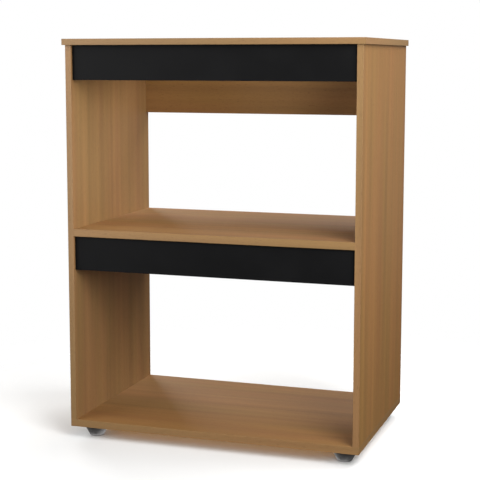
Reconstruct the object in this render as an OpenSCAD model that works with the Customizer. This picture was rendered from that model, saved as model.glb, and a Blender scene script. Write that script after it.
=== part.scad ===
// Oven base cabinet: a flat-pack open cabinet in printed board, with a large cut-out in its worktop,
// two open niches, two fixed black fascias and four conical feet.
// Millimetres. The origin is on the floor, below the middle of the worktop. +Z is up, and the front
// faces -Y.

/* [Carcass] */
// Height of the worktop's surface above the floor
overall_h = 994; // [940:1:1120]
// Width over the outer faces of the two sides
body_w = 738; // [660:1:900]
// Depth of the sides, from their front edge to their rear edge
body_d = 480; // [440:1:600]
// Height of the middle shelf's underside above the underside of the bottom panel
shelf_underside_h = 481; // [420:1:560]

/* [Boards] */
// Thickness of the two sides
side_t = 15; // [15:0.5:22]
// Thickness of the worktop
top_t = 15; // [15:0.5:28]
// Thickness of the middle shelf
shelf_t = 18; // [16:0.5:28]
// Thickness of the bottom panel
bottom_t = 18; // [18:0.5:28]
// Thickness of the two black fascias
fascia_t = 15; // [15:0.5:22]
// Height of the two black fascias
fascia_h = 84; // [72:1:120]
// How far the fascias stand back from the front edges of the sides
fascia_setback = 7.5; // [2:0.5:20]
// Thickness of the two back rails
rail_t = 15; // [15:0.5:22]
// Height of the upper back rail, below the worktop
upper_rail_h = 180; // [150:1:240]
// Height of the middle back rail, below the shelf
middle_rail_h = 84; // [72:1:120]
// Thickness of the plastic edge bands
band_t = 0.5; // [0.4:0.1:1]

/* [Worktop] */
// Overhang of the worktop past each side
top_side_overhang = 6; // [0:1:20]
// Overhang of the worktop past the front edges of the sides
top_front_overhang = 7; // [0:1:20]
// Width of the worktop's cut-out
cutout_w = 480; // [400:1:560]
// Depth of the worktop's cut-out, front to back
cutout_d = 410; // [340:1:420]
// Radius of the cut-out's corners
cutout_corner_r = 10; // [4:1:25]

/* [Feet] */
// Height of the feet
foot_h = 32; // [28:1:50]
// Diameter of a foot at the cabinet
foot_top_d = 68; // [60:1:76]
// Diameter of a foot at the floor
foot_bottom_d = 36; // [32:1:50]
// Radius of the rounding round a foot's lower edge
foot_edge_r = 2; // [0.5:0.5:4]
// Wall of the hollow foot
foot_wall = 3; // [2:0.5:5]
// Thickness of the foot's closed floor
foot_floor_t = 4; // [2:0.5:8]
// Outer diameter of the screw boss inside a foot
foot_boss_d = 16; // [14:1:20]
// Thickness of the ribs inside a foot
foot_rib_t = 2; // [1:0.5:4]
// Centre of a foot, in from the outer face of the side
foot_inset_x = 46; // [38:1:90]
// Centre of a foot, in from the front edge and the rear edge of the sides
foot_inset_y = 54; // [38:1:90]

/* [Cam fittings] */
// Diameter of the bore that takes a cam
cam_d = 15; // [14:0.5:18]
// Distance from a joint to the centre of its cam
cam_reach = 34; // [24:1:40]
// Depth of a cam's bore past the middle of the board
cam_below = 5; // [4.5:0.1:6]
// How far a cam sits below the face of the board
cam_recess = 0.5; // [0.2:0.1:1]
// Diameter of a cam bolt's thread
bolt_thread_d = 6; // [5:0.5:7]
// Length of a cam bolt's thread
bolt_thread_len = 11; // [9:0.5:12]
// Diameter of a cam bolt's shank
bolt_shank_d = 7; // [6.5:0.1:7.4]
// Diameter of the neck behind a cam bolt's head
bolt_neck_d = 3.4; // [2.5:0.1:4.5]
// Diameter of a cam bolt's head
bolt_head_d = 5.8; // [5:0.1:6.4]
// Diameter of the bore in a board's end that takes a bolt's shank
bolt_bore_d = 8; // [7.6:0.1:9]
// Length of the arms of the cams' cross recess
cross_len = 7; // [5:0.5:9]
// Width of the cams' cross recess
cross_w = 1.4; // [1:0.1:2]
// Depth of the cams' cross recess
cross_depth = 1.6; // [1:0.1:2]

/* [Dowels and screws] */
// Diameter of the wooden dowels
dowel_d = 8; // [6:0.5:8]
// Length of the wooden dowels
dowel_len = 30; // [25:1:40]
// How deep a dowel sits in the face of a board
dowel_in_face = 10; // [8:0.5:12]
// Chamfer round a dowel's ends
dowel_chamfer = 0.8; // [0.4:0.1:1.5]
// Diameter of the screws that come up through the bottom panel
screw_d = 5; // [4:0.5:7]
// Length of the screws that come up through the bottom panel
screw_len = 50; // [45:1:70]
// Head diameter of the screws that come up through the bottom panel
screw_head_d = 9; // [8:0.5:11]
// Height of the countersunk head
screw_head_h = 3; // [2:0.5:4]
// Diameter of the foot screws
foot_screw_d = 4; // [3:0.5:5]
// Length of the foot screws under the head
foot_screw_len = 30; // [26:1:31]
// Length of the foot's boss that the screw clamps
foot_screw_grip = 14; // [13:1:20]
// Head diameter of the foot screws
foot_screw_head_d = 8.4; // [7:0.1:9]
// Head height of the foot screws
foot_screw_head_h = 2.6; // [2:0.1:3.5]
// Bore that lets the foot screw's head and its driver into the foot
foot_counterbore_d = 11; // [10:0.5:12]
// Depth of the recess in the screw heads
drive_depth = 1.4; // [1:0.1:2]
// Width of the recess in the screw heads
drive_w = 1; // [0.8:0.1:1.4]
// Distance of the first cam fitting from the front and rear edges of the sides
fix_setback = 60; // [50:1:90]
// Pitch of the holes in a group of fittings
fix_pitch = 32; // [28:1:36]
// Pitch of the two cams at each end of the upper back rail
rail_cam_pitch = 96; // [80:1:110]
// Gap between the edge of a foot and the screws next to it
screw_foot_gap = 22; // [10:1:40]

/* [Hidden] */

// Facets of the round parts, and of the feet
$fn = 48;
foot_fn = 96;
// Steps of the rounding round a foot's lower edge
foot_edge_steps = 6;
// Clearance of a fastener in its bore, on the radius
fit_clear = 0.1;
// Clearance of a cam bolt's head in the cam, on each side
head_clear = 0.4;
// How much deeper than its fastener a blind hole is drilled
drill_extra = 1;
// The same for the foot screws, which end close under the bottom panel's upper face
foot_drill_extra = 0.5;
// How far a cut runs past the face that it opens
cut_over = 2;

// Main sizes that follow from the ones above
inner_w = body_w - 2 * side_t;
top_w = body_w + 2 * top_side_overhang;
top_d = body_d + top_front_overhang;
side_mid_x = body_w / 2 - side_t / 2;

// Depths, with the origin below the middle of the worktop
top_front_y = -top_d / 2;
body_front_y = top_front_y + top_front_overhang;
body_back_y = body_front_y + body_d;
fascia_y = body_front_y + fascia_setback;
fascia_mid_y = fascia_y + fascia_t / 2;
rail_y = body_back_y - rail_t;
rail_mid_y = rail_y + rail_t / 2;

// Heights above the floor
bottom_z = foot_h;
side_z = bottom_z + bottom_t;
top_z = overall_h - top_t;
side_h = top_z - side_z;
shelf_z = bottom_z + shelf_underside_h;
shelf_mid_z = shelf_z + shelf_t / 2;
upper_fascia_z = top_z - fascia_h;
lower_fascia_z = shelf_z - fascia_h;
upper_rail_z = top_z - upper_rail_h;
middle_rail_z = shelf_z - middle_rail_h;

// Places of the fittings
cam_ys = [body_front_y + fix_setback, body_back_y - fix_setback];
dowel_ys = [body_front_y + fix_setback + fix_pitch, body_back_y - fix_setback - fix_pitch];
screw_inset = foot_inset_y + foot_top_d / 2 + screw_foot_gap;
screw_ys = [body_front_y + screw_inset, body_front_y + body_d / 2, body_back_y - screw_inset];
upper_fascia_cam_z = upper_fascia_z + fascia_h / 2 + fix_pitch / 2;
upper_fascia_dowel_z = upper_fascia_z + fascia_h / 2 - fix_pitch / 2;
lower_fascia_cam_z = lower_fascia_z + fascia_h / 2 + fix_pitch / 2;
lower_fascia_dowel_z = lower_fascia_z + fascia_h / 2 - fix_pitch / 2;
upper_rail_mid_z = upper_rail_z + upper_rail_h / 2;
upper_rail_cam_zs = [upper_rail_mid_z - rail_cam_pitch / 2, upper_rail_mid_z + rail_cam_pitch / 2];
middle_rail_cam_z = middle_rail_z + middle_rail_h / 2 + fix_pitch / 2;
middle_rail_dowel_z = middle_rail_z + middle_rail_h / 2 - fix_pitch / 2;

// Fitting sizes that follow
thread_bore_d = bolt_thread_d + 2 * fit_clear;
dowel_bore_d = dowel_d + 2 * fit_clear;
screw_bore_d = screw_d + 2 * fit_clear;
foot_screw_bore_d = foot_screw_d + 2 * fit_clear;
bolt_head_half = bolt_head_d / 2;
cam_slot = bolt_head_d + 2 * head_clear;
foot_x = body_w / 2 - foot_inset_x;
foot_front_y = body_front_y + foot_inset_y;
foot_back_y = body_back_y - foot_inset_y;
foot_seat_z = foot_h - foot_screw_grip;
foot_screw_bite = foot_screw_len - foot_screw_grip;
foot_side_angle = atan((foot_top_d - foot_bottom_d) / 2 / foot_h);

// Colours
wood = [0.72, 0.55, 0.36];
wood_band = [0.66, 0.50, 0.33];
black_board = [0.11, 0.11, 0.11];
foot_grey = [0.27, 0.26, 0.25];
zinc = [0.70, 0.70, 0.72];
steel = [0.78, 0.76, 0.68];
beech = [0.83, 0.68, 0.48];

// Puts a copy on the right and its mirror image on the left
module both_sides() {
    children();
    mirror([1, 0, 0]) children();
}

// The places of the joints. In each one the joint lies at the child's origin, +X runs into the board
// whose end meets the joint, and +Z points to the face that the board's cams are set in.
module at_top_joint(ys) {
    both_sides() for (y = ys) translate([side_mid_x, y, top_z]) rotate([0, 90, 180]) children();
}

module at_shelf_joint(ys) {
    both_sides() for (y = ys) translate([inner_w / 2, y, shelf_mid_z]) rotate([0, 180, 0]) children();
}

module at_upright_joint(y, zs) {
    both_sides() for (z = zs) translate([inner_w / 2, y, z]) rotate([90, 0, 180]) children();
}

module at_bottom_joint(ys) {
    both_sides() for (y = ys) translate([side_mid_x, y, side_z]) rotate([0, -90, 0]) children();
}

// A steel cam bolt: its thread in the face of one board, its head in the other board's cam
module cam_bolt() {
    neck_x = cam_reach - cam_d / 2 - fit_clear;
    head_x = cam_reach - bolt_head_half;
    rotate([0, 90, 0]) {
        translate([0, 0, -bolt_thread_len]) cylinder(h = bolt_thread_len, d = bolt_thread_d);
        cylinder(h = neck_x, d = bolt_shank_d);
        cylinder(h = cam_reach, d = bolt_neck_d);
        translate([0, 0, head_x]) cylinder(h = bolt_head_d, d = bolt_head_d);
    }
}

module bolt_face_bore() {
    depth = bolt_thread_len + drill_extra;
    translate([-depth, 0, 0]) rotate([0, 90, 0]) cylinder(h = depth + cut_over, d = thread_bore_d);
}

// A die-cast cam for a board of thickness t, with the slot for the bolt and a cross recess
module cam(t) {
    cam_h = t / 2 + cam_below - cam_recess;
    slot_len = cam_d / 2 + bolt_head_half + head_clear;
    difference() {
        translate([cam_reach, 0, -cam_below]) cylinder(h = cam_h, d = cam_d - 2 * fit_clear);
        translate([cam_reach - cam_d / 2, -cam_slot / 2, -cam_slot / 2])
            cube([slot_len, cam_slot, cam_slot]);
        translate([cam_reach, 0, cam_h - cam_below - cross_depth / 2 + cut_over / 2])
            for (a = [45, 135]) rotate([0, 0, a])
                cube([cross_len, cross_w, cross_depth + cut_over], center = true);
    }
}

// The bore for a cam in a board of thickness t, and the bore in the board's end that meets it
module cam_bores(t) {
    translate([cam_reach, 0, -cam_below]) cylinder(h = cam_below + t / 2 + cut_over, d = cam_d);
    translate([-cut_over, 0, 0]) rotate([0, 90, 0]) cylinder(h = cam_reach + cut_over, d = bolt_bore_d);
}

// A wooden dowel, part in the face of one board and part in the end of the other
module dowel() {
    straight = dowel_len - 2 * dowel_chamfer;
    small_d = dowel_d - 2 * dowel_chamfer;
    translate([-dowel_in_face, 0, 0]) rotate([0, 90, 0]) {
        cylinder(h = dowel_chamfer, d1 = small_d, d2 = dowel_d);
        translate([0, 0, dowel_chamfer]) cylinder(h = straight, d = dowel_d);
        translate([0, 0, dowel_len - dowel_chamfer])
            cylinder(h = dowel_chamfer, d1 = dowel_d, d2 = small_d);
    }
}

module dowel_face_bore() {
    translate([-dowel_in_face, 0, 0]) rotate([0, 90, 0])
        cylinder(h = dowel_in_face + cut_over, d = dowel_bore_d);
}

module dowel_end_bore() {
    depth = dowel_len - dowel_in_face + drill_extra;
    translate([-cut_over, 0, 0]) rotate([0, 90, 0]) cylinder(h = depth + cut_over, d = dowel_bore_d);
}

// The recess of a cross-head screw, cut upwards from the head's underside at z = 0
module drive_recess() {
    for (a = [0, 90]) rotate([0, 0, a]) translate([-screw_d / 2, -drive_w / 2, -cut_over])
        cube([screw_d, drive_w, drive_depth + cut_over]);
}

// A countersunk screw that comes up through the bottom panel into the end of a side
module bottom_screw() {
    difference() {
        union() {
            cylinder(h = screw_head_h, d1 = screw_head_d, d2 = screw_d);
            cylinder(h = screw_len, d = screw_d);
        }
        drive_recess();
    }
}

module bottom_screw_bore() {
    translate([0, 0, -cut_over]) cylinder(h = screw_len + drill_extra + cut_over, d = screw_bore_d);
    cylinder(h = screw_head_h, d1 = screw_head_d + 2 * fit_clear, d2 = screw_bore_d);
}

module at_bottom_screws() {
    both_sides() for (y = screw_ys) translate([side_mid_x, y, bottom_z]) children();
}

// A pan-head screw up through the boss of a foot into the bottom panel
module foot_screw() {
    difference() {
        union() {
            translate([0, 0, foot_seat_z - foot_screw_head_h])
                cylinder(h = foot_screw_head_h, d = foot_screw_head_d);
            translate([0, 0, foot_seat_z - foot_screw_head_h / 2])
                cylinder(h = foot_screw_len + foot_screw_head_h / 2, d = foot_screw_d);
        }
        translate([0, 0, foot_seat_z - foot_screw_head_h]) drive_recess();
    }
}

module at_feet() {
    both_sides() for (y = [foot_front_y, foot_back_y]) translate([foot_x, y, 0]) children();
}

// The outside of a foot, turned from its profile
module foot_outside() {
    bottom_r = foot_bottom_d / 2;
    turn = 90 - foot_side_angle;
    rounding = [for (i = [0:foot_edge_steps]) let (a = -90 + i * turn / foot_edge_steps)
        [bottom_r - foot_edge_r + foot_edge_r * cos(a), foot_edge_r + foot_edge_r * sin(a)]];
    top_edge = [[foot_top_d / 2, foot_h], [0, foot_h]];
    rotate_extrude($fn = foot_fn) polygon(concat([[0, 0]], rounding, top_edge));
}

// A moulded foot: a hollow cone with a closed floor, a screw boss and four ribs
module foot() {
    floor_r = foot_bottom_d / 2 + (foot_top_d - foot_bottom_d) / 2 * foot_floor_t / foot_h - foot_wall;
    mouth_r = foot_top_d / 2 - foot_wall;
    boss_r = foot_boss_d / 2;
    difference() {
        union() {
            difference() {
                foot_outside();
                translate([0, 0, foot_floor_t])
                    cylinder(h = foot_h - foot_floor_t, r1 = floor_r, r2 = mouth_r, $fn = foot_fn);
            }
            intersection() {
                foot_outside();
                union() {
                    cylinder(h = foot_h, r = boss_r);
                    for (a = [45, 135]) rotate([0, 0, a]) translate([-foot_top_d / 2, -foot_rib_t / 2, 0])
                        cube([foot_top_d, foot_rib_t, foot_h]);
                }
            }
        }
        translate([0, 0, -cut_over]) cylinder(h = foot_h + 2 * cut_over, d = foot_screw_bore_d);
        translate([0, 0, -cut_over]) cylinder(h = foot_seat_z + cut_over, d = foot_counterbore_d);
    }
}

// The worktop's cut-out, with round corners
module cutout() {
    w = cutout_w / 2 - cutout_corner_r;
    d = cutout_d / 2 - cutout_corner_r;
    translate([0, 0, top_z - cut_over]) {
        translate([-cutout_w / 2, -d, 0]) cube([cutout_w, 2 * d, top_t + 2 * cut_over]);
        translate([-w, -cutout_d / 2, 0]) cube([2 * w, cutout_d, top_t + 2 * cut_over]);
        for (x = [-w, w]) for (y = [-d, d]) translate([x, y, 0])
            cylinder(h = top_t + 2 * cut_over, r = cutout_corner_r);
    }
}

// Every bore in the two sides
module side_bores() {
    at_top_joint(cam_ys) cam_bores(side_t);
    at_top_joint(dowel_ys) dowel_end_bore();
    at_shelf_joint(cam_ys) bolt_face_bore();
    at_shelf_joint(dowel_ys) dowel_face_bore();
    at_upright_joint(fascia_mid_y, [upper_fascia_cam_z, lower_fascia_cam_z]) bolt_face_bore();
    at_upright_joint(fascia_mid_y, [upper_fascia_dowel_z, lower_fascia_dowel_z]) dowel_face_bore();
    at_upright_joint(rail_mid_y, concat(upper_rail_cam_zs, [middle_rail_cam_z])) bolt_face_bore();
    at_upright_joint(rail_mid_y, [upper_rail_mid_z, middle_rail_dowel_z]) dowel_face_bore();
    at_bottom_joint(cam_ys) dowel_end_bore();
    at_bottom_screws() bottom_screw_bore();
}

module side_panel() {
    difference() {
        translate([inner_w / 2, body_front_y + band_t, side_z]) cube([side_t, body_d - band_t, side_h]);
        side_bores();
    }
}

// A board between the sides, standing on its long edge, with a band along its lower edge
module upright_board(y, z, t, h) {
    translate([-inner_w / 2, y, z + band_t]) cube([inner_w, t, h - band_t]);
}

module lower_edge_band(y, z, t) {
    translate([-inner_w / 2, y, z]) cube([inner_w, t, band_t]);
}

module top_panel() {
    color(wood) difference() {
        translate([-top_w / 2 + band_t, top_front_y + band_t, top_z])
            cube([top_w - 2 * band_t, top_d - band_t, top_t]);
        cutout();
        at_top_joint(cam_ys) bolt_face_bore();
        at_top_joint(dowel_ys) dowel_face_bore();
    }
}

module right_side_panel() {
    color(wood) side_panel();
}

module left_side_panel() {
    color(wood) mirror([1, 0, 0]) side_panel();
}

module middle_shelf() {
    color(wood) difference() {
        translate([-inner_w / 2, body_front_y + band_t, shelf_z]) cube([inner_w, body_d - band_t, shelf_t]);
        at_shelf_joint(cam_ys) cam_bores(shelf_t);
        at_shelf_joint(dowel_ys) dowel_end_bore();
    }
}

module bottom_panel() {
    color(wood) difference() {
        translate([-body_w / 2 + band_t, body_front_y + band_t, bottom_z])
            cube([body_w - 2 * band_t, body_d - band_t, bottom_t]);
        at_bottom_joint(cam_ys) dowel_face_bore();
        at_bottom_screws() bottom_screw_bore();
        at_feet() translate([0, 0, foot_h - cut_over])
            cylinder(h = foot_screw_bite + foot_drill_extra + cut_over, d = foot_screw_bore_d);
    }
}

module upper_fascia() {
    color(black_board) difference() {
        upright_board(fascia_y, upper_fascia_z, fascia_t, fascia_h);
        at_upright_joint(fascia_mid_y, [upper_fascia_cam_z]) cam_bores(fascia_t);
        at_upright_joint(fascia_mid_y, [upper_fascia_dowel_z]) dowel_end_bore();
    }
}

module lower_fascia() {
    color(black_board) difference() {
        upright_board(fascia_y, lower_fascia_z, fascia_t, fascia_h);
        at_upright_joint(fascia_mid_y, [lower_fascia_cam_z]) cam_bores(fascia_t);
        at_upright_joint(fascia_mid_y, [lower_fascia_dowel_z]) dowel_end_bore();
    }
}

module upper_back_rail() {
    color(wood) difference() {
        upright_board(rail_y, upper_rail_z, rail_t, upper_rail_h);
        at_upright_joint(rail_mid_y, upper_rail_cam_zs) cam_bores(rail_t);
        at_upright_joint(rail_mid_y, [upper_rail_mid_z]) dowel_end_bore();
    }
}

module middle_back_rail() {
    color(wood) difference() {
        upright_board(rail_y, middle_rail_z, rail_t, middle_rail_h);
        at_upright_joint(rail_mid_y, [middle_rail_cam_z]) cam_bores(rail_t);
        at_upright_joint(rail_mid_y, [middle_rail_dowel_z]) dowel_end_bore();
    }
}

// Edge bands
module top_front_edge_band() {
    color(wood_band) translate([-top_w / 2, top_front_y, top_z]) cube([top_w, band_t, top_t]);
}

module top_right_edge_band() {
    color(wood_band) translate([top_w / 2 - band_t, top_front_y + band_t, top_z])
        cube([band_t, top_d - band_t, top_t]);
}

module top_left_edge_band() {
    mirror([1, 0, 0]) top_right_edge_band();
}

module right_side_edge_band() {
    color(wood_band) translate([inner_w / 2, body_front_y, side_z]) cube([side_t, band_t, side_h]);
}

module left_side_edge_band() {
    mirror([1, 0, 0]) right_side_edge_band();
}

module shelf_edge_band() {
    color(wood_band) translate([-inner_w / 2, body_front_y, shelf_z]) cube([inner_w, band_t, shelf_t]);
}

module bottom_front_edge_band() {
    color(wood_band) translate([-body_w / 2, body_front_y, bottom_z]) cube([body_w, band_t, bottom_t]);
}

module bottom_right_edge_band() {
    color(wood_band) translate([body_w / 2 - band_t, body_front_y + band_t, bottom_z])
        cube([band_t, body_d - band_t, bottom_t]);
}

module bottom_left_edge_band() {
    mirror([1, 0, 0]) bottom_right_edge_band();
}

module upper_fascia_edge_band() {
    color(black_board) lower_edge_band(fascia_y, upper_fascia_z, fascia_t);
}

module lower_fascia_edge_band() {
    color(black_board) lower_edge_band(fascia_y, lower_fascia_z, fascia_t);
}

module upper_rail_edge_band() {
    color(wood_band) lower_edge_band(rail_y, upper_rail_z, rail_t);
}

module middle_rail_edge_band() {
    color(wood_band) lower_edge_band(rail_y, middle_rail_z, rail_t);
}

// Feet
module front_right_foot() {
    color(foot_grey) translate([foot_x, foot_front_y, 0]) foot();
}

module front_left_foot() {
    color(foot_grey) translate([-foot_x, foot_front_y, 0]) foot();
}

module rear_right_foot() {
    color(foot_grey) translate([foot_x, foot_back_y, 0]) foot();
}

module rear_left_foot() {
    color(foot_grey) translate([-foot_x, foot_back_y, 0]) foot();
}

module foot_screws() {
    color(steel) at_feet() foot_screw();
}

// Fittings between the worktop and the sides
module top_cams() {
    color(zinc) at_top_joint(cam_ys) cam(side_t);
}

module top_cam_bolts() {
    color(steel) at_top_joint(cam_ys) cam_bolt();
}

module top_dowels() {
    color(beech) at_top_joint(dowel_ys) dowel();
}

// Fittings between the shelf and the sides
module shelf_cams() {
    color(zinc) at_shelf_joint(cam_ys) cam(shelf_t);
}

module shelf_cam_bolts() {
    color(steel) at_shelf_joint(cam_ys) cam_bolt();
}

module shelf_dowels() {
    color(beech) at_shelf_joint(dowel_ys) dowel();
}

// Fittings between the fascias and the sides
module upper_fascia_cams() {
    color(zinc) at_upright_joint(fascia_mid_y, [upper_fascia_cam_z]) cam(fascia_t);
}

module upper_fascia_cam_bolts() {
    color(steel) at_upright_joint(fascia_mid_y, [upper_fascia_cam_z]) cam_bolt();
}

module upper_fascia_dowels() {
    color(beech) at_upright_joint(fascia_mid_y, [upper_fascia_dowel_z]) dowel();
}

module lower_fascia_cams() {
    color(zinc) at_upright_joint(fascia_mid_y, [lower_fascia_cam_z]) cam(fascia_t);
}

module lower_fascia_cam_bolts() {
    color(steel) at_upright_joint(fascia_mid_y, [lower_fascia_cam_z]) cam_bolt();
}

module lower_fascia_dowels() {
    color(beech) at_upright_joint(fascia_mid_y, [lower_fascia_dowel_z]) dowel();
}

// Fittings between the back rails and the sides
module upper_rail_cams() {
    color(zinc) at_upright_joint(rail_mid_y, upper_rail_cam_zs) cam(rail_t);
}

module upper_rail_cam_bolts() {
    color(steel) at_upright_joint(rail_mid_y, upper_rail_cam_zs) cam_bolt();
}

module upper_rail_dowels() {
    color(beech) at_upright_joint(rail_mid_y, [upper_rail_mid_z]) dowel();
}

module middle_rail_cams() {
    color(zinc) at_upright_joint(rail_mid_y, [middle_rail_cam_z]) cam(rail_t);
}

module middle_rail_cam_bolts() {
    color(steel) at_upright_joint(rail_mid_y, [middle_rail_cam_z]) cam_bolt();
}

module middle_rail_dowels() {
    color(beech) at_upright_joint(rail_mid_y, [middle_rail_dowel_z]) dowel();
}

// Fittings between the bottom panel and the sides
module bottom_panel_screws() {
    color(steel) at_bottom_screws() bottom_screw();
}

module bottom_panel_dowels() {
    color(beech) at_bottom_joint(cam_ys) dowel();
}

top_panel();
left_side_panel();
right_side_panel();
middle_shelf();
bottom_panel();
upper_fascia();
lower_fascia();
upper_back_rail();
middle_back_rail();
top_front_edge_band();
top_left_edge_band();
top_right_edge_band();
left_side_edge_band();
right_side_edge_band();
shelf_edge_band();
bottom_front_edge_band();
bottom_left_edge_band();
bottom_right_edge_band();
upper_fascia_edge_band();
lower_fascia_edge_band();
upper_rail_edge_band();
middle_rail_edge_band();
front_left_foot();
front_right_foot();
rear_left_foot();
rear_right_foot();
foot_screws();
top_cams();
top_cam_bolts();
top_dowels();
shelf_cams();
shelf_cam_bolts();
shelf_dowels();
upper_fascia_cams();
upper_fascia_cam_bolts();
upper_fascia_dowels();
lower_fascia_cams();
lower_fascia_cam_bolts();
lower_fascia_dowels();
upper_rail_cams();
upper_rail_cam_bolts();
upper_rail_dowels();
middle_rail_cams();
middle_rail_cam_bolts();
middle_rail_dowels();
bottom_panel_screws();
bottom_panel_dowels();
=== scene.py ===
# %% [markdown]
# # An oven base cabinet, and how its finishes are made
#
# The cabinet is flat-pack furniture: nine boards, strips of edge band, four feet, and the cams, bolts,
# screws and dowels that hold it together. The construction is already modelled and comes in as a fixed
# frame. This script gives each piece the surface that the real one has, swaps a few small parts for finer
# ones, and then sets up a studio with a camera at the photograph's viewing angle. Everything is in metres,
# with the origin on the floor, +Z up and the front facing -Y.

# %% Load the frame
import math

import bmesh
import bpy
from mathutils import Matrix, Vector


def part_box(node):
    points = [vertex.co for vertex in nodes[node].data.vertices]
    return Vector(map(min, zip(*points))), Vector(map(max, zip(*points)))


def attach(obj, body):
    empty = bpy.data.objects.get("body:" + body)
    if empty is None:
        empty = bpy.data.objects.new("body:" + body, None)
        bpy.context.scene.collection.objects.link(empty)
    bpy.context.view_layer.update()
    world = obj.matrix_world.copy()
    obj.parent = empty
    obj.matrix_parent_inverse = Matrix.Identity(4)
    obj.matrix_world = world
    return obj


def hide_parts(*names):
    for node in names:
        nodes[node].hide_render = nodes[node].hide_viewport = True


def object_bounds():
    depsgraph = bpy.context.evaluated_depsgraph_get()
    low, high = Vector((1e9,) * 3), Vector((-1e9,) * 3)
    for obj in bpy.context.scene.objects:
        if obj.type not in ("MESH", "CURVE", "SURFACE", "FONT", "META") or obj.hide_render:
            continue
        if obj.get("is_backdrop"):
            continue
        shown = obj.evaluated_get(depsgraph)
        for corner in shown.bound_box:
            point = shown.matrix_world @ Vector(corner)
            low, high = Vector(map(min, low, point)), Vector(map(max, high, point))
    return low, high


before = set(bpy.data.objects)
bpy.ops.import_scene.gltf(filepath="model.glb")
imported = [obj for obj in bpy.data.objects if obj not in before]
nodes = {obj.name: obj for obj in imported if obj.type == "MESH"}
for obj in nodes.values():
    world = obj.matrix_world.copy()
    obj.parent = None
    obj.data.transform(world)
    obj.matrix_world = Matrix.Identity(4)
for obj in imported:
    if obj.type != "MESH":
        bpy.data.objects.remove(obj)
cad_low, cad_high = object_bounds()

MM = 0.001
print(len(nodes), "nodes in the frame, size", [round(v / MM) for v in cad_high - cad_low], "mm")

# %% [markdown]
# ## The camera
#
# The photograph was taken from the right of the cabinet's middle and just below the height of its worktop,
# so that the worktop shows only its edge. A camera is placed by where it stands, where it turns and how
# long its lens is. Blender counts the lens against a sensor 36 mm wide, so a focal length in pixels of a
# 480-pixel picture becomes millimetres by the ratio of the two. The photograph keeps its upright lines
# parallel, as a lens shifted down does. Only a small part of that shift is used here, because every other
# view of the cabinet keeps the same shift, and the rest is made up by tilting the camera down.

# %% Place the camera
PICTURE_SIDE = 480
SENSOR_WIDTH = 36.0
FOCAL_PIXELS = 1264.3
LENS_SHIFT = (0.0147, -0.04)
CAMERA_PLACE = (1.017, -3.021, 0.946)
TILT_DOWN = math.radians(7.3)
TURN_LEFT = math.radians(18.96)

camera_data = bpy.data.cameras.new("photograph_camera")
camera_data.sensor_width = SENSOR_WIDTH
camera_data.lens = FOCAL_PIXELS / PICTURE_SIDE * SENSOR_WIDTH
camera_data.shift_x, camera_data.shift_y = LENS_SHIFT
camera = bpy.data.objects.new("photograph_camera", camera_data)
camera.location = CAMERA_PLACE
camera.rotation_euler = (math.radians(90) - TILT_DOWN, 0, TURN_LEFT)
bpy.context.scene.collection.objects.link(camera)
bpy.context.scene.camera = camera
print("lens", round(camera_data.lens, 1), "mm")

# %% [markdown]
# ## Colours and node trees
#
# Colours are given as hex codes, which are sRGB values. The shaders count in linear light, so one
# function turns a hex code into linear values. A second one adds a node to a material, sets it up and links
# it, which keeps each recipe below as short as the list of its steps. The Mix node has a set of sockets for
# each kind of value, all with the same names, so its sockets are told apart by number.

# %% Colours
def paint(hex_code):
    """A hex sRGB colour as linear red, green, blue and alpha."""
    channels = [int(hex_code[i:i + 2], 16) / 255 for i in (1, 3, 5)]
    linear = [c / 12.92 if c <= 0.04045 else ((c + 0.055) / 1.055) ** 2.4 for c in channels]
    return (*linear, 1.0)


print("sRGB mid grey is", round(paint("#808080")[0], 3), "in linear light")


# %% Nodes and materials
MIX_A, MIX_B, MIX_RESULT = 6, 7, 2
FLOAT_A, FLOAT_B, FLOAT_RESULT = 2, 3, 0


def add(tree, kind, inputs=None, stops=None, **settings):
    """Adds a node of a kind, sets it up, fills or links its inputs, and returns it."""
    node = tree.nodes.new(kind)
    for name, value in settings.items():
        setattr(node, name, value)
    for count, (place, colour) in enumerate(stops or []):
        elements = node.color_ramp.elements
        element = elements[count] if count < len(elements) else elements.new(place)
        element.position = place
        element.color = colour
    for key, value in (inputs or {}).items():
        if isinstance(value, bpy.types.NodeSocket):
            tree.links.new(value, node.inputs[key])
        else:
            node.inputs[key].default_value = value
    return node


def new_material(name):
    """An empty node material and its tree."""
    material = bpy.data.materials.new(name)
    material.use_nodes = True
    material.node_tree.nodes.clear()
    return material, material.node_tree


def finish_with(tree, colour, roughness, height, bump_mm, **constants):
    """Ends a material: a Principled shader with a bump of a real depth, and constants on its own sockets."""
    bump = add(tree, "ShaderNodeBump", {"Height": height, "Distance": bump_mm * MM, "Strength": 1.0})
    shader = add(tree, "ShaderNodeBsdfPrincipled", {
        "Base Color": colour, "Roughness": roughness, "Normal": bump.outputs["Normal"]})
    for name, value in constants.items():
        shader.inputs[name.replace("_", " ")].default_value = value
    add(tree, "ShaderNodeOutputMaterial", {"Surface": shader.outputs["BSDF"]})


def assign(piece, *materials):
    """Puts materials in a piece's slots, in order."""
    piece.data.materials.clear()
    for material in materials:
        piece.data.materials.append(material)
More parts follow.
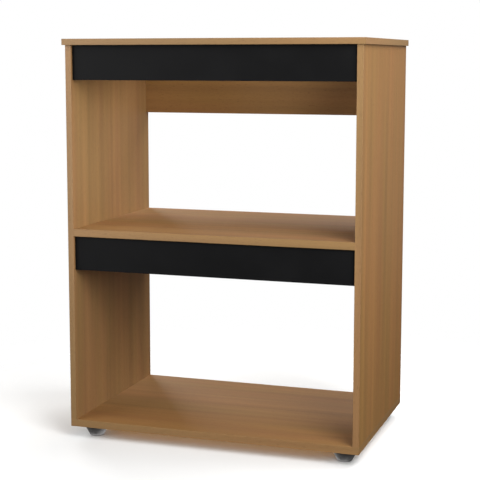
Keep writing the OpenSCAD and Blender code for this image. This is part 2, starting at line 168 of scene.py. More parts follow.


# %% [markdown]
# ## The wood print
#
# The boards aren't solid wood. They are particle board faced with melamine: a sheet of decor paper printed
# with a honey-coloured, straight-grained wood, soaked in resin and pressed on under heat. An image of wood
# would be the usual way to show it, but a procedural pattern has no seams or resolution and can follow each
# board. It is built up as the print is, in layers from broad to fine. Every layer is a noise that is
# stretched along the grain, because wood fibres are long and thin: slow drifts between an olive and a
# pinkish honey over a hand's width, growth streaks one to three centimetres wide, fibres a millimetre wide,
# and short dark pores. Real pores are a third of a millimetre wide. They are drawn about twice as wide,
# because finer ones would never show in the render.
#
# There are two sets of tones. The second is a greyer copy of the print, used on the edge bands and on the
# left side.
# Its greyness is painted sheen: the pale veil that light lays over these faces, put into their colour. The
# bands match the boards beside them in brightness.

# %% Coordinates along a grain
AXES = {"X": 0, "Y": 1, "Z": 2}

# How long and how wide the patches of each layer are, in millimetres along the grain and across it.
BENDS = (420, 110)
STREAKS = (1100, 26)
DRIFTS = (700, 75)
FIBRES = (70, 1.3)
PORES = (11, 0.7)

SWAY = 12 * MM
MIDDLE_OF_NOISE = (0.5, 0.5, 0.5)


def stretched(tree, points, grain, patch, place):
    """Points scaled so that one unit is one patch. Each place reaches another region of a noise."""
    along_mm, across_mm = patch
    scale = [1 / (across_mm * MM)] * 3
    scale[AXES[grain]] = 1 / (along_mm * MM)
    mapping = add(tree, "ShaderNodeMapping", {"Vector": points, "Location": place, "Scale": scale})
    return mapping.outputs["Vector"]


def bent(tree, grain, place):
    """The piece's own points, pushed a few millimetres sideways by a slow noise so that the grain wanders."""
    points = add(tree, "ShaderNodeTexCoord").outputs["Object"]
    slow = add(tree, "ShaderNodeTexNoise", {
        "Vector": stretched(tree, points, grain, BENDS, place), "Scale": 1.0, "Detail": 1.0})
    sway = [SWAY] * 3
    sway[AXES[grain]] = 0
    centred = add(tree, "ShaderNodeVectorMath", {
        0: slow.outputs["Color"], 1: MIDDLE_OF_NOISE}, operation="SUBTRACT")
    push = add(tree, "ShaderNodeVectorMath", {0: centred.outputs["Vector"], 1: sway}, operation="MULTIPLY")
    return add(tree, "ShaderNodeVectorMath", {0: points, 1: push.outputs["Vector"]}).outputs["Vector"]


# %% Two sets of tones
WARM_HONEY = {
    "light": paint("#A57845"),
    "middle": paint("#956C3E"),
    "dark": paint("#835E36"),
    "olive": paint("#8E6F3D"),
    "pink": paint("#9D6B41"),
    "pore": paint("#654424"),
}
# Painted sheen: the print's tones made greyer, for the edge bands and the left side.
SHEEN_GREYED_HONEY = {
    "light": paint("#A47C4E"),
    "middle": paint("#947046"),
    "dark": paint("#82623D"),
    "olive": paint("#8D7243"),
    "pink": paint("#9C6F49"),
    "pore": paint("#6D4E2D"),
}

# %% The print's colour and relief
DRIFT_SHARE = 0.3
FIBRE_DARKEST = 0.95
FIBRE_LIGHTEST = 1.03
PORE_STRENGTH = 0.55


def wood_print(tree, tones, grain, place):
    """Returns the print's colour and height sockets, with the grain along one axis."""
    points = bent(tree, grain, place)
    streaks = add(tree, "ShaderNodeTexNoise", {
        "Vector": stretched(tree, points, grain, STREAKS, place),
        "Scale": 1.0, "Detail": 3.0, "Roughness": 0.45})
    wood = add(tree, "ShaderNodeValToRGB", {"Fac": streaks.outputs["Fac"]}, stops=[
        (0.21, tones["dark"]), (0.5, tones["middle"]), (0.79, tones["light"])])
    drift = add(tree, "ShaderNodeTexNoise", {
        "Vector": stretched(tree, points, grain, DRIFTS, place), "Scale": 1.0, "Detail": 1.0})
    cast = add(tree, "ShaderNodeValToRGB", {"Fac": drift.outputs["Fac"]}, stops=[
        (0.35, tones["olive"]), (0.65, tones["pink"])])
    toned = add(tree, "ShaderNodeMix", {
        "Factor": DRIFT_SHARE, MIX_A: wood.outputs["Color"], MIX_B: cast.outputs["Color"]},
        data_type="RGBA")
    fibres = add(tree, "ShaderNodeTexNoise", {
        "Vector": stretched(tree, points, grain, FIBRES, place),
        "Scale": 1.0, "Detail": 2.0, "Roughness": 0.6})
    fibre_tone = add(tree, "ShaderNodeMapRange", {
        "Value": fibres.outputs["Fac"], "From Min": 0.3, "From Max": 0.7,
        "To Min": FIBRE_DARKEST, "To Max": FIBRE_LIGHTEST})
    fibred = add(tree, "ShaderNodeVectorMath", {
        0: toned.outputs[MIX_RESULT], "Scale": fibre_tone.outputs["Result"]}, operation="SCALE")
    specks = add(tree, "ShaderNodeTexNoise", {
        "Vector": stretched(tree, points, grain, PORES, place), "Scale": 1.0, "Detail": 0.0})
    pores = add(tree, "ShaderNodeMapRange", {
        "Value": specks.outputs["Fac"], "From Min": 0.68, "From Max": 0.76,
        "To Min": 0.0, "To Max": PORE_STRENGTH})
    colour = add(tree, "ShaderNodeMix", {
        "Factor": pores.outputs["Result"], MIX_A: fibred.outputs["Vector"], MIX_B: tones["pore"]},
        data_type="RGBA")
    height = add(tree, "ShaderNodeMath", {
        0: fibres.outputs["Fac"], 1: pores.outputs["Result"]}, operation="SUBTRACT")
    return colour.outputs[MIX_RESULT], height.outputs["Value"]


# %% [markdown]
# ## The particle board under the print
#
# Where a board was sawn and has no edge band, its core shows: wood chips glued and pressed flat, coarse in
# the middle and fine towards the two faces. The rear edges of the cabinet and the inside of the worktop's
# cut-out look like this. A cell pattern, flattened across the thickness of the board, gives the lying chips,
# and each cell takes its own tone of cream, tan or brown. The print has no thickness that would show, so
# the board's own surface direction tells print and core apart: a face that looks along the thickness
# carries the print, and any other face was sawn.
#
# Melamine resin has an index of refraction near 1.5 and would be as glossy as lacquer. The steel plate that
# presses it is matt, though, and leaves fine pits, so the roughness is high and the specular level is under
# the usual half. A sawn edge is fibrous and scatters nearly all light.

# %% The core's colour and relief
CHIP_CREAM = paint("#DCC8A4")
CHIP_TAN = paint("#C6A87D")
CHIP_BROWN = paint("#AC8A5D")
CHIP_DARK = paint("#8A6A45")

# How long and how deep the chips are, in millimetres.
COARSE_CHIPS = (4.5, 1.1)
FINE_CHIPS = (1.2, 0.5)

# How far from the middle the fine chips begin and the coarse ones end, as shares of the thickness.
FINE_FROM = 0.24
COARSE_UP_TO = 0.36


def chips(tree, thickness_axis, chip):
    """A cell pattern of chips that lie flat in the board."""
    length_mm, depth_mm = chip
    points = add(tree, "ShaderNodeTexCoord").outputs["Object"]
    scale = [1 / (length_mm * MM)] * 3
    scale[AXES[thickness_axis]] = 1 / (depth_mm * MM)
    placed = add(tree, "ShaderNodeMapping", {"Vector": points, "Scale": scale})
    return add(tree, "ShaderNodeTexVoronoi", {"Vector": placed.outputs["Vector"], "Scale": 1.0})


def particle_board(tree, thickness_axis, low, high):
    """Returns the core's colour and height sockets, for a board that lies between low and high."""
    coarse = chips(tree, thickness_axis, COARSE_CHIPS)
    fine = chips(tree, thickness_axis, FINE_CHIPS)
    points = add(tree, "ShaderNodeTexCoord").outputs["Object"]
    depth = add(tree, "ShaderNodeSeparateXYZ", {"Vector": points}).outputs[thickness_axis]
    middle = (low + high) / 2
    thickness = high - low
    from_middle = add(tree, "ShaderNodeMath", {0: depth, 1: middle}, operation="SUBTRACT")
    off = add(tree, "ShaderNodeMath", {0: from_middle.outputs["Value"]}, operation="ABSOLUTE")
    face_layer = add(tree, "ShaderNodeMapRange", {
        "Value": off.outputs["Value"],
        "From Min": thickness * FINE_FROM, "From Max": thickness * COARSE_UP_TO})
    tone = add(tree, "ShaderNodeMix", {
        "Factor": face_layer.outputs["Result"], MIX_A: coarse.outputs["Color"], MIX_B: fine.outputs["Color"]},
        data_type="RGBA")
    pick = add(tree, "ShaderNodeSeparateXYZ", {"Vector": tone.outputs[MIX_RESULT]}).outputs["X"]
    colour = add(tree, "ShaderNodeValToRGB", {"Fac": pick}, stops=[
        (0.05, CHIP_DARK), (0.3, CHIP_BROWN), (0.6, CHIP_TAN), (0.95, CHIP_CREAM)])
    return colour.outputs["Color"], pick


# %% Board materials
SAWN_UNDER = 0.5
PRINT_ROUGHNESS = 0.56
SAWN_ROUGHNESS = 0.85


def printed_board(name, tones, grain, thickness_axis, low, high, place):
    """Melamine-faced particle board: the print on its faces and the core on its sawn edges."""
    material, tree = new_material(name)
    print_colour, print_height = wood_print(tree, tones, grain, place)
    core_colour, core_height = particle_board(tree, thickness_axis, low, high)
    facing = add(tree, "ShaderNodeTexCoord").outputs["Normal"]
    along = add(tree, "ShaderNodeSeparateXYZ", {"Vector": facing}).outputs[thickness_axis]
    flat = add(tree, "ShaderNodeMath", {0: along}, operation="ABSOLUTE")
    edge = add(tree, "ShaderNodeMath", {0: flat.outputs["Value"], 1: SAWN_UNDER}, operation="LESS_THAN")
    sawn = edge.outputs["Value"]
    colour = add(tree, "ShaderNodeMix", {
        "Factor": sawn, MIX_A: print_colour, MIX_B: core_colour}, data_type="RGBA")
    height = add(tree, "ShaderNodeMix", {"Factor": sawn, FLOAT_A: print_height, FLOAT_B: core_height})
    roughness = add(tree, "ShaderNodeMapRange", {
        "Value": sawn, "To Min": PRINT_ROUGHNESS, "To Max": SAWN_ROUGHNESS})
    finish_with(
        tree, colour.outputs[MIX_RESULT], roughness.outputs["Result"], height.outputs[FLOAT_RESULT],
        bump_mm=0.08, IOR=1.5, Specular_IOR_Level=0.38)
    return material


# %% Face the boards
def region(count, steps, start):
    """Another place in the noise for each count, so that no two boards or bands have the same grain."""
    return tuple(step * count + start for step in steps)


BOARDS = {
    "top_panel": (WARM_HONEY, "X", "Z"),
    # The left side's greyer tones are painted sheen.
    "left_side_panel": (SHEEN_GREYED_HONEY, "Z", "X"),
    "right_side_panel": (WARM_HONEY, "Z", "X"),
    "middle_shelf": (WARM_HONEY, "X", "Z"),
    "bottom_panel": (WARM_HONEY, "X", "Z"),
    "upper_back_rail": (WARM_HONEY, "X", "Y"),
    "middle_back_rail": (WARM_HONEY, "X", "Y"),
}
for count, (name, (tones, grain, thickness_axis)) in enumerate(BOARDS.items()):
    low, high = (corner[AXES[thickness_axis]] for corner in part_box(name))
    place = region(count, (3.1, 7.3, 5.7), 1.7)
    finish = printed_board("wood_print_melamine_" + name, tones, grain, thickness_axis, low, high, place)
    assign(nodes[name], finish)
print(len(BOARDS), "printed boards")

# %% [markdown]
# ## Edge bands
#
# A board's visible edges are closed with a strip of printed PVC half a millimetre thick. The machine that
# glues it on then trims its corners round, and that small round arris catches a thin line of light. The
# bands are the one place on a board where the edge isn't a sharp corner, so each is built anew as a mesh:
# a thin block in the place of the plain strip, with the edges of its outer face bevelled.

# %% Make a piece of a mesh
def piece_of(mesh, name):
    """Puts a finished mesh into the scene as an object."""
    data = bpy.data.meshes.new(name)
    mesh.to_mesh(data)
    mesh.free()
    piece = bpy.data.objects.new(name, data)
    bpy.context.scene.collection.objects.link(piece)
    return piece


# %% Build the edge bands
ARRIS_RADIUS = 0.42 * MM
ARRIS_FACETS = 4
TOUCHING = 1e-6


def edge_band(name, axis, side, ends_round):
    """A band in the box of its node. Its outer face looks to one side of an axis and has round arrises."""
    low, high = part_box(name)
    size = high - low
    mesh = bmesh.new()
    bmesh.ops.create_cube(mesh, size=1)
    bmesh.ops.scale(mesh, vec=size, verts=mesh.verts)
    bmesh.ops.translate(mesh, vec=(low + high) / 2, verts=mesh.verts)
    outer = (high if side > 0 else low)[axis]
    length_axis = max(range(3), key=lambda a: size[a])
    arrises = []
    for edge in mesh.edges:
        ends = [v.co for v in edge.verts]
        on_outer_face = all(abs(co[axis] - outer) < TOUCHING for co in ends)
        lengthways = abs(ends[0][length_axis] - ends[1][length_axis]) > size[length_axis] / 2
        if on_outer_face and (lengthways or ends_round):
            arrises.append(edge)
    bmesh.ops.bevel(
        mesh, geom=arrises, offset=ARRIS_RADIUS, segments=ARRIS_FACETS, profile=0.5, affect="EDGES")
    for face in mesh.faces:
        face.smooth = True
    piece = piece_of(mesh, "rounded_" + name)
    piece.modifiers.new("even_shading", "WEIGHTED_NORMAL")
    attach(piece, "root")
    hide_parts(name)
    return piece


# %% Printed bands
def printed_band(name, grain, place):
    """PVC with the same print in greyer tones that are painted sheen, and a little glossier than the boards.
    """
    material, tree = new_material(name)
    colour, height = wood_print(tree, SHEEN_GREYED_HONEY, grain, place)
    finish_with(tree, colour, roughness=0.5, height=height, bump_mm=0.05, IOR=1.53)
    return material


# %% Band the boards
PRINTED_BANDS = {
    "top_front_edge_band": ("X", "Y", -1, True),
    "top_left_edge_band": ("Y", "X", -1, False),
    "top_right_edge_band": ("Y", "X", 1, False),
    "left_side_edge_band": ("Z", "Y", -1, False),
    "right_side_edge_band": ("Z", "Y", -1, False),
    "shelf_edge_band": ("X", "Y", -1, False),
    "bottom_front_edge_band": ("X", "Y", -1, True),
    "bottom_left_edge_band": ("Y", "X", -1, False),
    "bottom_right_edge_band": ("Y", "X", 1, False),
    "upper_rail_edge_band": ("X", "Z", -1, False),
    "middle_rail_edge_band": ("X", "Z", -1, False),
}
for count, (name, (grain, axis, side, ends_round)) in enumerate(PRINTED_BANDS.items()):
    band = edge_band(name, AXES[axis], side, ends_round)
    place = region(count, (2.9, 4.1, 6.7), 9.4)
    assign(band, printed_band("wood_print_pvc_" + name, grain, place))
print(len(PRINTED_BANDS), "printed edge bands")

# %% [markdown]
# ## The black fascias
#
# The two fascias are the same board with a matt black melamine. Matt melamine is pressed against a finely
# blasted steel plate, which leaves a pearled surface that breaks up reflections. So the black is never
# quite black, and it has no mirror image, only a soft lighter veil where light grazes it. A small rounded
# noise about a millimetre across stands for the pearls, which are finer on the real board. On a black
# ground any sheen shows at once, so this is where the specular level was matched with most care: 0.12.

# %% Black melamine
PEARLS_PER_METRE = 1 / (1.1 * MM)
CLOUDS_PER_METRE = 1 / (90 * MM)
MELAMINE_GLOSS_SPREAD = 0.05


def black_melamine(name, roughness, bump_mm):
    """Matt black melamine or PVC with a pearled surface."""
    material, tree = new_material(name)
    points = add(tree, "ShaderNodeTexCoord").outputs["Object"]
    pearls = add(tree, "ShaderNodeTexNoise", {"Vector": points, "Scale": PEARLS_PER_METRE, "Detail": 1.0})
    cloud = add(tree, "ShaderNodeTexNoise", {"Vector": points, "Scale": CLOUDS_PER_METRE, "Detail": 2.0})
    colour = add(tree, "ShaderNodeValToRGB", {"Fac": cloud.outputs["Fac"]}, stops=[
        (0.3, paint("#0C0C0D")), (0.7, paint("#101011"))])
    gloss = add(tree, "ShaderNodeMapRange", {
        "Value": cloud.outputs["Fac"],
        "To Min": roughness - MELAMINE_GLOSS_SPREAD, "To Max": roughness + MELAMINE_GLOSS_SPREAD})
    finish_with(
        tree, colour.outputs["Color"], gloss.outputs["Result"], pearls.outputs["Fac"],
        bump_mm=bump_mm, IOR=1.5, Specular_IOR_Level=0.12)
    return material


# %% Finish the fascias
matt_black_board = black_melamine("matt_black_melamine", roughness=0.55, bump_mm=0.03)
matt_black_pvc = black_melamine("matt_black_pvc", roughness=0.48, bump_mm=0.02)
for name in ("upper_fascia", "lower_fascia"):
    assign(nodes[name], matt_black_board)
    band = edge_band(name + "_edge_band", AXES["Z"], -1, False)
    assign(band, matt_black_pvc)
print("2 black fascias with their lower bands")

# %% [markdown]
# ## The feet
#
# The feet are polypropylene, injection-moulded in a steel mould whose walls were spark-eroded, which prints
# a fine dull grain on the plastic. Polypropylene is waxy: grey instead of deep black, with a broad faint
# shine. The grain of a spark-eroded mould is about a third of a millimetre, drawn three times coarser here.

# %% Moulded polypropylene
SPARKS_PER_METRE = 1 / (0.9 * MM)
PATCHES_PER_METRE = 1 / (5 * MM)


def moulded_plastic(name):
    """Dark grey polypropylene with a spark-eroded grain."""
    material, tree = new_material(name)
    points = add(tree, "ShaderNodeTexCoord").outputs["Object"]
    grain = add(tree, "ShaderNodeTexNoise", {"Vector": points, "Scale": SPARKS_PER_METRE, "Detail": 2.0})
    patches = add(tree, "ShaderNodeTexNoise", {"Vector": points, "Scale": PATCHES_PER_METRE, "Detail": 3.0})
    colour = add(tree, "ShaderNodeValToRGB", {"Fac": patches.outputs["Fac"]}, stops=[
        (0.3, paint("#767473")), (0.7, paint("#8C8A89"))])
    gloss = add(tree, "ShaderNodeMapRange", {"Value": patches.outputs["Fac"], "To Min": 0.5, "To Max": 0.66})
    finish_with(
        tree, colour.outputs["Color"], gloss.outputs["Result"], grain.outputs["Fac"],
        bump_mm=0.15, IOR=1.49)
    return material


# %% Finish the feet
grained_polypropylene = moulded_plastic("grained_polypropylene")
for name in ("front_left_foot", "front_right_foot", "rear_left_foot", "rear_right_foot"):
    assign(nodes[name], grained_polypropylene)
print("4 moulded feet")

# %% [markdown]
# ## Cams, bolts, screws and dowels
#
# These hold the boards together and show only from behind, from below or through the cut-out, if at all.
# The cams are die-cast zinc: a grey metal with a soft, slightly cloudy skin. The bolts and screws are steel
# with a yellow zinc plating, which has a thin rainbow tint between gold and pale green. The dowels are
# turned beech, pale and pinkish, with the short dark flecks that beech has.

# %% Metals
METAL_GLOSS_SPREAD = 0.08


def cast_or_plated(name, light_hex, dark_hex, roughness, patch_mm):
    """A metal whose skin varies between two tones."""
    material, tree = new_material(name)
    points = add(tree, "ShaderNodeTexCoord").outputs["Object"]
    patches = add(tree, "ShaderNodeTexNoise", {"Vector": points, "Scale": 1 / (patch_mm * MM), "Detail": 3.0})
    colour = add(tree, "ShaderNodeValToRGB", {"Fac": patches.outputs["Fac"]}, stops=[
        (0.3, paint(dark_hex)), (0.7, paint(light_hex))])
    gloss = add(tree, "ShaderNodeMapRange", {
        "Value": patches.outputs["Fac"],
        "To Min": roughness - METAL_GLOSS_SPREAD, "To Max": roughness + METAL_GLOSS_SPREAD})
    finish_with(
        tree, colour.outputs["Color"], gloss.outputs["Result"], patches.outputs["Fac"],
        bump_mm=0.02, Metallic=1.0)
    return material


die_cast_zinc = cast_or_plated("die_cast_zinc", "#C4C5C8", "#9C9EA3", roughness=0.42, patch_mm=2.0)
yellow_zinc_steel = cast_or_plated(
    "yellow_zinc_plated_steel", "#DCCB8F", "#B9B48C", roughness=0.3, patch_mm=3.0)

# %% Beech
FLECKS = (20, 0.8)


def turned_beech(name, grain):
    """Pale beech with its grain along one axis and short dark flecks."""
    material, tree = new_material(name)
    points = add(tree, "ShaderNodeTexCoord").outputs["Object"]
    flecks = add(tree, "ShaderNodeTexNoise", {
        "Vector": stretched(tree, points, grain, FLECKS, (0, 0, 0)), "Scale": 1.0, "Detail": 3.0})
    colour = add(tree, "ShaderNodeValToRGB", {"Fac": flecks.outputs["Fac"]}, stops=[
        (0.28, paint("#A8794A")), (0.5, paint("#CFA574")), (0.7, paint("#DDB888"))])
    finish_with(
        tree, colour.outputs["Color"], roughness=0.6, height=flecks.outputs["Fac"], bump_mm=0.1, IOR=1.5)
    return material


BEECH = {"X": turned_beech("beech_lying", "X"), "Z": turned_beech("beech_upright", "Z")}
print("zinc, plated steel and beech ready")

# %% [markdown]
# ## Threads and flutes
#
# The frame's bolts, screws and dowels are plain shanks at their full diameter, which is all that fit and
# strength ask for. On a real screw two dies press a groove into the wire, and a sharp ridge is left that
# winds round a thinner core. A real dowel is pressed with flutes, so that glue can climb past it. A bump
# could draw both, but their outlines would stay straight, so they are meshes: a core turned from a profile,
# and a three-sided ridge that climbs by one pitch a turn. Each takes the place and the length of the plain
# one, which is found by splitting the node's mesh into its separate solids.

# %% Find the separate solids of a node
SAME_CORNER = 1e-6


def solids_of(name):
    """The lowest and highest corner of each separate solid of a node, from left to right."""
    mesh = bmesh.new()
    mesh.from_mesh(nodes[name].data)
    bmesh.ops.remove_doubles(mesh, verts=mesh.verts, dist=SAME_CORNER)
    waiting = set(mesh.verts)
    boxes = []
    while waiting:
        reached = [waiting.pop()]
        for corner in reached:
            for edge in corner.link_edges:
                neighbour = edge.other_vert(corner)
                if neighbour in waiting:
                    waiting.discard(neighbour)
                    reached.append(neighbour)
        low = Vector(min(v.co[axis] for v in reached) for axis in range(3))
        high = Vector(max(v.co[axis] for v in reached) for axis in range(3))
        boxes.append((low, high))
    mesh.free()
    return sorted(boxes, key=lambda box: tuple(box[0]))


# %% Turn a core
TURN_STEPS = 24


def turned_core(mesh, profile, flute=0.0):
    """Turns (height, radius) points in millimetres round Z. Flutes sink every other point of a ring."""
    rings = []
    for height, radius in profile:
        ring = []
        for step in range(TURN_STEPS):
            angle = 2 * math.pi * step / TURN_STEPS
            out = (radius - flute * (step % 2)) * MM
            ring.append(mesh.verts.new((out * math.cos(angle), out * math.sin(angle), height * MM)))
        rings.append(ring)
    for low, high in zip(rings, rings[1:]):
        for step in range(TURN_STEPS):
            after = (step + 1) % TURN_STEPS
            mesh.faces.new((low[step], low[after], high[after], high[step]))
    mesh.faces.new(reversed(rings[0]))
    mesh.faces.new(rings[-1])


# %% Wind a ridge
RIDGE_SINK = 0.1
HALF_WIDTH_OF_PITCH = 0.3
HALF_TURN = TURN_STEPS / 2


def wound_ridge(mesh, first, last, core, crest, pitch):
    """Winds a closed three-sided ridge round a core. It rises and dies out in half a turn."""
    steps = round((last - first) / pitch * TURN_STEPS)
    foot = core - RIDGE_SINK
    half_width = pitch * HALF_WIDTH_OF_PITCH
    rings = []
    for step in range(steps + 1):
        angle = 2 * math.pi * step / TURN_STEPS
        height = first + (last - first) * step / steps
        rise = min(1, (step + 1) / HALF_TURN, (steps - step + 1) / HALF_TURN)
        tip = foot + (crest - foot) * rise
        ring = []
        for radius, offset in ((foot, -half_width), (tip, 0), (foot, half_width)):
            across = (radius * math.cos(angle) * MM, radius * math.sin(angle) * MM)
            ring.append(mesh.verts.new((*across, (height + offset) * MM)))
        rings.append(ring)
    for before, after in zip(rings, rings[1:]):
        for corner in range(3):
            following = (corner + 1) % 3
            mesh.faces.new((before[corner], after[corner], after[following], before[following]))
    mesh.faces.new(rings[0])
    mesh.faces.new(reversed(rings[-1]))


# %% [markdown]
# ## Cross recesses
#
# The recess for the screwdriver is struck into the cold head with a cross-shaped punch that narrows towards
# its tip. The Boolean modifier can do the same: it subtracts a cutter from a mesh, here a cross that is
# smaller at its inner end. The result is read back as a plain mesh at once, because a live modifier would
# need the cutter to stay in the scene.

# %% Cut a cross recess
CROSS_LENGTH = 4.6
CROSS_WIDTH = 1.0
CROSS_DEPTH = 1.4
CROSS_CORNERS = 12

# A punched or cast shape tapers. At its two ends its outline is this many times as large.
WIDE_END = 1.4
NARROW_END = 0.6


def cross_outline():
    """The twelve corners of a cross, in order."""
    far, near = CROSS_LENGTH / 2, CROSS_WIDTH / 2
    corners = []
    for turn in range(4):
        for x, y in ((far, -near), (far, near), (near, near)):
            for quarter in range(turn):
                x, y = -y, x
            corners.append((x, y))
    return corners


def cut_cross(mesh):
    """Cuts a cross recess that narrows inwards into the end of a mesh at height zero."""
    cutter = bmesh.new()
    rings = []
    for height, scale in ((-CROSS_DEPTH, WIDE_END), (CROSS_DEPTH, NARROW_END)):
        ring = []
        for x, y in cross_outline():
            ring.append(cutter.verts.new((x * scale * MM, y * scale * MM, height * MM)))
        rings.append(ring)
    for step in range(CROSS_CORNERS):
        after = (step + 1) % CROSS_CORNERS
        cutter.faces.new((rings[0][step], rings[0][after], rings[1][after], rings[1][step]))
    cutter.faces.new(reversed(rings[0]))
    cutter.faces.new(rings[1])
    whole = piece_of(mesh, "recess_whole")
    tool = piece_of(cutter, "recess_tool")
    modifier = whole.modifiers.new("recess", "BOOLEAN")
    modifier.operation = "DIFFERENCE"
    modifier.solver = "EXACT"
    modifier.object = tool
    cut = whole.evaluated_get(bpy.context.evaluated_depsgraph_get())
    result = bmesh.new()
    result.from_mesh(cut.to_mesh())
    cut.to_mesh_clear()
    for helper in (whole, tool):
        data = helper.data
        bpy.data.objects.remove(helper)
        bpy.data.meshes.remove(data)
    return result


# %% [markdown]
# ## The four kinds of fastener
#
# Each kind is one profile, a list of heights and radii in millimetres from the head's end to the tip. They
# follow the plain solids in length, head, neck and shank, so each still fits its own hole, and the crest of
# a thread comes close to the plain shank's surface. A fastener is then turned so that its tip points the
# right way: up for the screws and the worktop's bolts, and outward for all others.

# %% A cam bolt
def cam_bolt(length, width):
    """A cam bolt: a round head for the cam, a thin neck, a thick shank and a coarse thread."""
    shank = width / 2
    mesh = bmesh.new()
    turned_core(mesh, [
        (0, 1.6), (0.5, 2.4), (1.5, 2.9), (4.3, 2.9), (5.2, 2.5), (5.8, 1.7),
        (10.5, 1.7), (10.5, shank - 0.4), (10.9, shank),
        (length - 11.4, shank), (length - 11, shank - 0.4),
        (length - 11, 2.2), (length - 1.4, 2.2), (length, 1.2)])
    wound_ridge(mesh, length - 9.8, length - 1.6, core=2.2, crest=3.0, pitch=2.6)
    return mesh


# %% A countersunk screw
def countersunk_screw(length, width):
    """A countersunk chipboard screw with a cross recess and a sharp point."""
    head = width / 2
    mesh = bmesh.new()
    turned_core(mesh, [
        (0, head - 0.3), (0.2, head - 0.15), (3, 2.0), (4, 1.75), (length - 5, 1.6), (length, 0.1)])
    mesh = cut_cross(mesh)
    wound_ridge(mesh, 8, length - 4, core=1.6, crest=2.45, pitch=2.3)
    return mesh


# %% A pan-head screw
def pan_head_screw(length, width):
    """A pan-head chipboard screw with a cross recess and a sharp point."""
    head = width / 2
    mesh = bmesh.new()
    turned_core(mesh, [
        (0, head - 1.4), (0.3, head - 0.7), (0.9, head - 0.2), (1.6, head), (2.6, head), (2.6, 1.6),
        (4, 1.4), (length - 4, 1.25), (length, 0.1)])
    mesh = cut_cross(mesh)
    wound_ridge(mesh, 5, length - 3, core=1.3, crest=1.95, pitch=1.8)
    return mesh


# %% A fluted dowel
def fluted_dowel(length, width):
    """A beech dowel with chamfered ends and twelve pressed flutes."""
    radius = width / 2
    mesh = bmesh.new()
    turned_core(
        mesh, [(0, radius - 0.8), (0.8, radius), (length - 0.8, radius), (length, radius - 0.8)], flute=0.3)
    return mesh


# %% Put a fastener in every place of a node
SMOOTH_UP_TO = math.radians(40)


def fasteners(name, make, finish):
    """Makes one piece of all fasteners of a node, each in the place of its plain solid."""
    whole = bmesh.new()
    boxes = solids_of(name)
    for low, high in boxes:
        size = high - low
        middle = (low + high) / 2
        axis = max(range(3), key=lambda a: size[a])
        towards = Vector((0, 0, 1)) if axis == 2 else Vector((math.copysign(1, middle.x), 0, 0))
        single = make(size[axis] / MM, min(size) / MM)
        matrix = towards.to_track_quat("Z", "Y").to_matrix().to_4x4()
        matrix.translation = middle - towards * size[axis] / 2
        single.transform(matrix)
        data = bpy.data.meshes.new("single")
        single.to_mesh(data)
        single.free()
        whole.from_mesh(data)
        bpy.data.meshes.remove(data)
    for face in whole.faces:
        face.smooth = True
    piece = piece_of(whole, "finished_" + name)
    piece.data.set_sharp_from_angle(angle=SMOOTH_UP_TO)
    assign(piece, finish)
    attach(piece, "root")
    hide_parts(name)
    return len(boxes)


# %% Put in all the fasteners
made = 0
for name in nodes:
    if name.endswith("_cam_bolts"):
        made += fasteners(name, cam_bolt, yellow_zinc_steel)
    elif name == "bottom_panel_screws":
        made += fasteners(name, countersunk_screw, yellow_zinc_steel)
    elif name == "foot_screws":
        made += fasteners(name, pan_head_screw, yellow_zinc_steel)
    elif name.endswith("_dowels"):
        grain = "Z" if name in ("top_dowels", "bottom_panel_dowels") else "X"
        made += fasteners(name, fluted_dowel, BEECH[grain])
print(made, "bolts, screws and dowels")

# %% [markdown]
# ## Cams
#
# A cam has an arrow cast on its face. It points to the bolt when the cam is open, and without it nobody could
# tell from outside which way the slot looks. The arrow stands 0.4 mm proud and stays below the face of the
# board. Its sides slope, as those of every casting do so that it leaves its mould. The slopes catch light.

# %% Cams with their arrows
ARROW = ((6.4, 0.0), (4.0, 1.4), (4.0, -1.4))
ARROW_MIDDLE = 4.8
ARROW_HEIGHT = 0.4 * MM


def cam_arrows(name, to_bolt, outward):
    """A raised arrow on the face of each cam of a node. The cams on the left are mirrored."""
    mesh = bmesh.new()
    boxes = solids_of(name)
    for low, high in boxes:
        middle = (low + high) / 2
        mirror = Vector((math.copysign(1, middle.x), 1, 1))
        point_way = Vector(to_bolt) * mirror
        face_way = Vector(outward) * mirror
        side_way = face_way.cross(point_way)
        depth = abs((high - low).dot(face_way)) / 2
        rings = []
        for rise, scale in ((-ARROW_HEIGHT, WIDE_END), (ARROW_HEIGHT, NARROW_END)):
            centre = middle + face_way * (depth + rise) + point_way * ARROW_MIDDLE * MM
            ring = []
            for x, y in ARROW:
                across = (point_way * (x - ARROW_MIDDLE) + side_way * y) * scale
                ring.append(mesh.verts.new(centre + across * MM))
            rings.append(ring)
        mesh.faces.new(rings[0])
        mesh.faces.new(reversed(rings[1]))
        for step in range(3):
            after = (step + 1) % 3
            mesh.faces.new((rings[0][after], rings[0][step], rings[1][step], rings[1][after]))
    bmesh.ops.recalc_face_normals(mesh, faces=mesh.faces)
    piece = piece_of(mesh, name + "_arrows")
    assign(piece, die_cast_zinc)
    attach(piece, "root")
    return len(boxes)


# %% Mark all the cams
# The way to the bolt and the way out of the cam's face, for the cams on the right.
CAM_WAYS = {
    "top_cams": ((0, 0, 1), (-1, 0, 0)),
    "shelf_cams": ((1, 0, 0), (0, 0, -1)),
}
OTHER_CAM_WAYS = ((1, 0, 0), (0, 1, 0))

cams = 0
for name in nodes:
    if name.endswith("_cams"):
        assign(nodes[name], die_cast_zinc)
        cams += cam_arrows(name, *CAM_WAYS.get(name, OTHER_CAM_WAYS))
print(cams, "cams")

# %% [markdown]
# ## The studio
#
# The photograph has a plain white background. A pale floor carries the soft shadow under the cabinet. An
# endless floor would draw a horizon line, so this one is a disc that thins out to nothing, where the white
# surroundings take over. It carries shadows only: it is hidden from bounced and mirrored light, because a
# white floor would throw light on the cabinet's lower half, which in the photograph gets darker downwards.

# %% A fading floor
FLOOR_CORNERS = 96
GONE_AT = 0.98


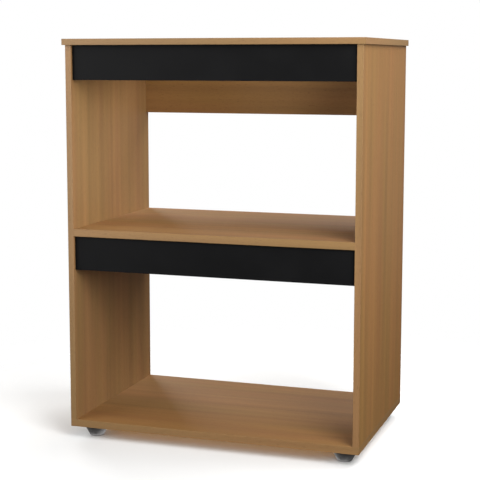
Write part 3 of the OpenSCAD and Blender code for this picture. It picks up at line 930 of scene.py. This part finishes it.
def fading_floor(radius, fade_from):
    """A pale disc that fades out towards its rim."""
    material, tree = new_material("pale_studio_floor")
    points = add(tree, "ShaderNodeTexCoord").outputs["Object"]
    away = add(tree, "ShaderNodeVectorMath", {0: points}, operation="LENGTH").outputs["Value"]
    gone = add(tree, "ShaderNodeMapRange", {
        "Value": away, "From Min": fade_from, "From Max": radius * GONE_AT},
        interpolation_type="SMOOTHSTEP")
    dull = add(tree, "ShaderNodeBsdfDiffuse", {"Color": paint("#F7F7F6")})
    clear = add(tree, "ShaderNodeBsdfTransparent")
    mixed = add(tree, "ShaderNodeMixShader", {
        "Fac": gone.outputs["Result"], 1: dull.outputs["BSDF"], 2: clear.outputs["BSDF"]})
    add(tree, "ShaderNodeOutputMaterial", {"Surface": mixed.outputs["Shader"]})
    mesh = bmesh.new()
    bmesh.ops.create_circle(mesh, cap_ends=True, segments=FLOOR_CORNERS, radius=radius)
    floor = piece_of(mesh, "studio_floor")
    floor.visible_diffuse = False
    floor.visible_glossy = False
    assign(floor, material)
    floor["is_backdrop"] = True


# %% Lay the floor
fading_floor(radius=1.3, fade_from=0.35)
print("floor laid")

# %% [markdown]
# ## The light
#
# The light is read off the photograph. The right side and the front edges are about equally bright, so the
# main light stands between them, in front on the right. It is two softboxes, one above the other: the upper
# one makes everything darker towards the floor, and the lower one reaches in under the black fascias, which
# cast next to no shadow on the inner face of the left side. A softbox on the right evens out the right side
# from front to back, one on the left lifts the front, and a wide faint one behind gives the sheen on the
# right side that a white wall gives. Two more light the back for whoever walks round the cabinet. They
# stand where neither the shelf nor the bottom panel mirrors them to the photograph's camera. The feet would
# be black without the light that a pale floor sends up, and a rectangle of faint light on the floor under
# the cabinet does that.

# %% A softbox
MIDDLE = (0, 0, 0.55)


def softbox(name, place, width, watts, target=MIDDLE):
    """A square area light that looks from its place to a target, most often the cabinet's middle."""
    data = bpy.data.lights.new(name, "AREA")
    data.size = width
    data.energy = watts
    light = bpy.data.objects.new(name, data)
    light.location = place
    light.rotation_euler = (Vector(target) - Vector(place)).to_track_quat("-Z", "Y").to_euler()
    bpy.context.scene.collection.objects.link(light)


# %% Hang the softboxes
softbox("lower_key_softbox", (1.56, -1.56, 1.1), width=1.2, watts=41)
softbox("upper_key_softbox", (1.56, -1.56, 2.6), width=1.7, watts=41)
softbox("right_softbox", (1.55, 0.41, 2.4), width=1.3, watts=32)
softbox("left_softbox", (-2.0, -1.67, 1.2), width=2.2, watts=55)
softbox("back_wall_softbox", (0.83, 3.09, 1.0), width=2.2, watts=5.5)
softbox("rear_left_softbox", (-2.3, 2.2, 1.6), width=1.3, watts=45)
softbox("rear_softbox", (0.2, 1.9, 2.9), width=1.2, watts=50, target=(0, 0.2, 0.5))
print("7 softboxes hung")

# %% Light from below
GLOW_INSET = 40 * MM
GLOW_HEIGHT = 2 * MM
GLOW_WATTS = 0.9

glow_data = bpy.data.lights.new("floor_glow", "AREA")
glow_data.shape = "RECTANGLE"
glow_data.size = cad_high[0] - cad_low[0] - 2 * GLOW_INSET
glow_data.size_y = cad_high[1] - cad_low[1] - 2 * GLOW_INSET
glow_data.energy = GLOW_WATTS
floor_glow = bpy.data.objects.new("floor_glow", glow_data)
floor_glow.location = (0, 0, GLOW_HEIGHT)
floor_glow.rotation_euler = (math.pi, 0, 0)
floor_glow.visible_camera = False
bpy.context.scene.collection.objects.link(floor_glow)
print("glow under the cabinet", round(glow_data.size / MM), "x", round(glow_data.size_y / MM), "mm")

# %% Surroundings
STRENGTH_AS_LIGHT = 0.02
STRENGTH_AS_BACKDROP = 1.0

world = bpy.data.worlds.new("white_surroundings")
world.use_nodes = True
tree = world.node_tree
tree.nodes.clear()
seen = add(tree, "ShaderNodeLightPath").outputs["Is Camera Ray"]
strength = add(tree, "ShaderNodeMapRange", {
    "Value": seen, "To Min": STRENGTH_AS_LIGHT, "To Max": STRENGTH_AS_BACKDROP})
background = add(tree, "ShaderNodeBackground", {
    "Color": paint("#FFFFFF"), "Strength": strength.outputs["Result"]})
add(tree, "ShaderNodeOutputWorld", {"Surface": background.outputs["Background"]})
bpy.context.scene.world = world
bpy.context.scene.view_settings.view_transform = "Standard"
print("studio ready")

low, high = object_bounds()
print("visual size", [round(v / MM, 1) for v in high - low], "mm")
